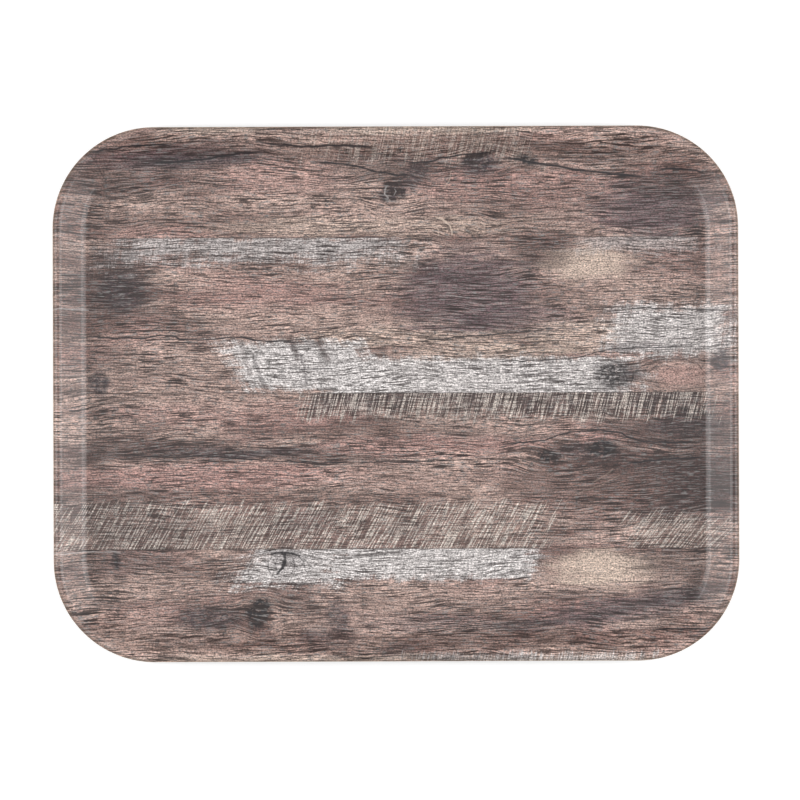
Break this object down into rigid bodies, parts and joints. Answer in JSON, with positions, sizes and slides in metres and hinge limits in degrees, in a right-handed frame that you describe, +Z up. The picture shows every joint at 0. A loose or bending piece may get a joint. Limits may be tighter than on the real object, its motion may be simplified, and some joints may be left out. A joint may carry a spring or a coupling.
{
  "type": "serving tray",
  "caption": "Rectangular low-rimmed serving tray with rounded corners, pressed from printed and glass-fibre sheets round a rim rod, with stacking lugs.",
  "frame": {"origin": "on the table under the middle of the tray, where its flat underside rests", "axes": "+X along the tray's length, +Y across it towards the side with the rod's joint, +Z up out of the tray"},
  "size_m": [0.4572, 0.3568, 0.02],
  "materials": {
    "clear_overlay": "clear cured resin, satin gloss",
    "printed_sheet": "weathered wood-plank print under satin resin",
    "glass_fibre": "cream glass-fibre laminate, trimmed edge",
    "rod_metal": "drawn rod",
    "backing": "plain dark brown resin sheet, fine moulded texture"
  },
  "bodies": {
    "root": {"clear_overlay": "clear_overlay", "decor_sheet": "printed_sheet", "upper_glass_ply": "glass_fibre", "rim_rod": "rod_metal", "lower_glass_ply": "glass_fibre", "backing_sheet": "backing", "stacking_lugs": "backing"}
  },
  "joints": []
}
